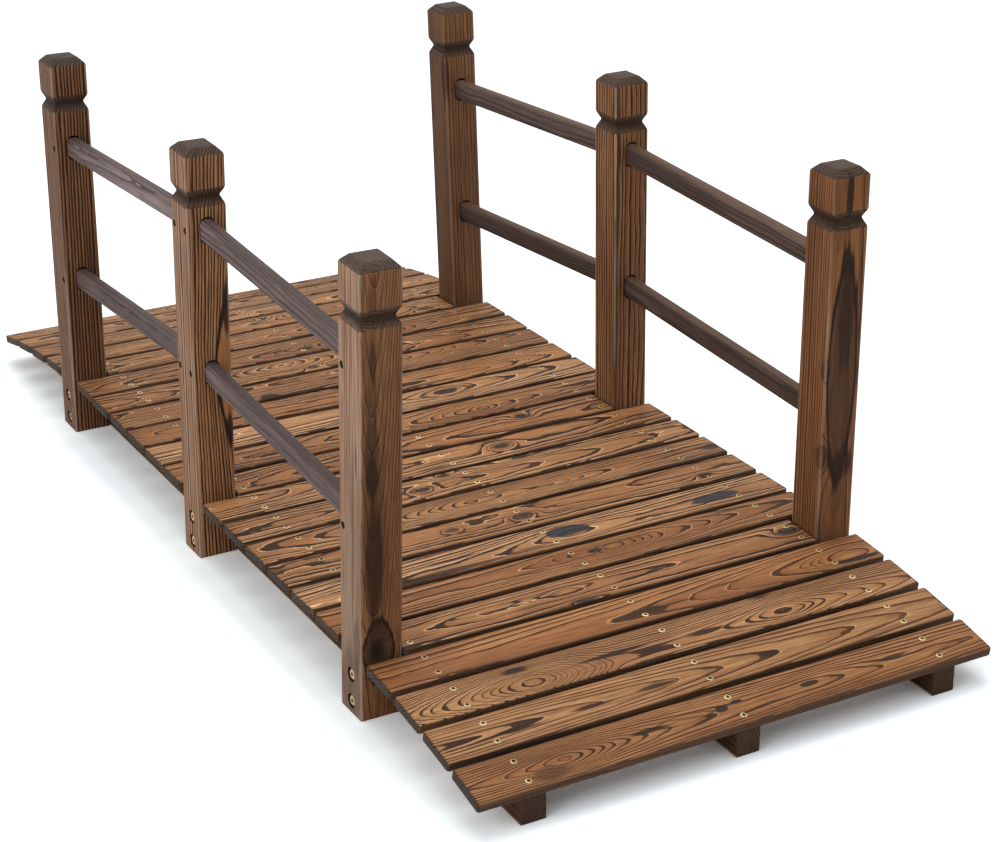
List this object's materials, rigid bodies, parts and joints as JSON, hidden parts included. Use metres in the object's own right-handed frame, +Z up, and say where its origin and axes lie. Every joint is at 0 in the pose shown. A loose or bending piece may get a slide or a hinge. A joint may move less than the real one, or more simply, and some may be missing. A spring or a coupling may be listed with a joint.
{
  "type": "wooden garden footbridge",
  "caption": "Low footbridge with a board deck on stringers, curving down at both ends, and a post and rail railing on each side.",
  "frame": {"origin": "on the ground under the middle of the deck", "axes": "+X along the bridge to its front end, +Y across to the right railing, +Z up"},
  "size_m": [1.5248, 0.6701, 0.5419],
  "materials": {
    "deck_wood": "scorched and oiled softwood",
    "stringer_wood": "scorched and oiled softwood",
    "post_wood": "scorched and oiled softwood",
    "rail_wood": "scorched and oiled softwood",
    "bolt_steel": "yellow zinc plate"
  },
  "bodies": {
    "root": {"deck_board_01": "deck_wood", "deck_board_02": "deck_wood", "deck_board_03": "deck_wood", "deck_board_04": "deck_wood", "deck_board_05": "deck_wood", "deck_board_06": "deck_wood", "deck_board_07": "deck_wood", "deck_board_08": "deck_wood", "deck_board_09": "deck_wood", "deck_board_10": "deck_wood", "deck_board_11": "deck_wood", "deck_board_12": "deck_wood", "deck_board_13": "deck_wood", "deck_board_14": "deck_wood", "deck_board_15": "deck_wood", "deck_board_16": "deck_wood", "deck_board_17": "deck_wood", "deck_board_18": "deck_wood", "deck_board_19": "deck_wood", "deck_board_20": "deck_wood", "deck_board_21": "deck_wood", "deck_board_22": "deck_wood", "deck_board_23": "deck_wood", "foot_bolts": "bolt_steel", "left_back_lower_rail": "rail_wood", "left_back_post": "post_wood", "left_back_upper_rail": "rail_wood", "left_front_lower_rail": "rail_wood", "left_front_post": "post_wood", "left_front_upper_rail": "rail_wood", "left_middle_post": "post_wood", "left_stringer": "stringer_wood", "middle_stringer": "stringer_wood", "right_back_lower_rail": "rail_wood", "right_back_post": "post_wood", "right_back_upper_rail": "rail_wood", "right_front_lower_rail": "rail_wood", "right_front_post": "post_wood", "right_front_upper_rail": "rail_wood", "right_middle_post": "post_wood", "right_stringer": "stringer_wood"}
  },
  "joints": []
}
